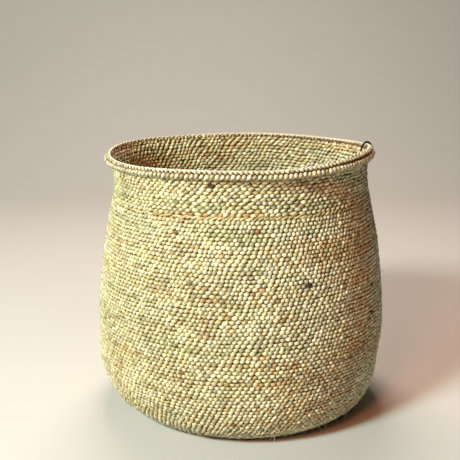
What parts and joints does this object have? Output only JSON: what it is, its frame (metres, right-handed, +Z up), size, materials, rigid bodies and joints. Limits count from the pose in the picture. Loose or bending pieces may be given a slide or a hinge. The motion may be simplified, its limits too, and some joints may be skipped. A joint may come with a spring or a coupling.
{
  "type": "woven storage basket",
  "caption": "Round twined seagrass basket, widest low down over a rounded base and drawn in to a short neck with a thick plaited border.",
  "frame": {"origin": "on the floor under the middle of the flat base", "axes": "+Z up through the mouth; -Y is the front that faces the viewer; +X to the viewer's right, where the cord loop hangs"},
  "size_m": [0.4516, 0.4506, 0.4158],
  "materials": {
    "weft": "twisted seagrass cord, straw yellow with greenish and brown stitches, dry and slightly glossy",
    "wale": "straw coloured seagrass cord, long thin slanted stitches of three weavers",
    "border": "plaited seagrass, pale straw, matt",
    "stakes": "dried seagrass stems, brown, matt",
    "cord": "thin twisted black cord, matt"
  },
  "bodies": {
    "root": {"base_cross": "stakes", "base_weft_under": "weft", "base_weft_upper": "weft", "stakes": "stakes", "turn_weft_outer_1": "weft", "turn_weft_inner_1": "weft", "turn_weft_outer_2": "weft", "turn_weft_inner_2": "weft", "wall_weft_outer_1": "weft", "wall_weft_inner_1": "weft", "wall_weft_outer_2": "weft", "wall_weft_inner_2": "weft", "wall_weft_outer_3": "weft", "wall_weft_inner_3": "weft", "wall_weft_outer_4": "weft", "wall_weft_inner_4": "weft", "wall_weft_outer_5": "weft", "wall_weft_inner_5": "weft", "wale_outer": "wale", "wale_inner": "wale", "upper_weft_outer": "weft", "upper_weft_inner": "weft", "border_core": "stakes", "border_plait": "border", "cord_loop": "cord"}
  },
  "joints": []
}
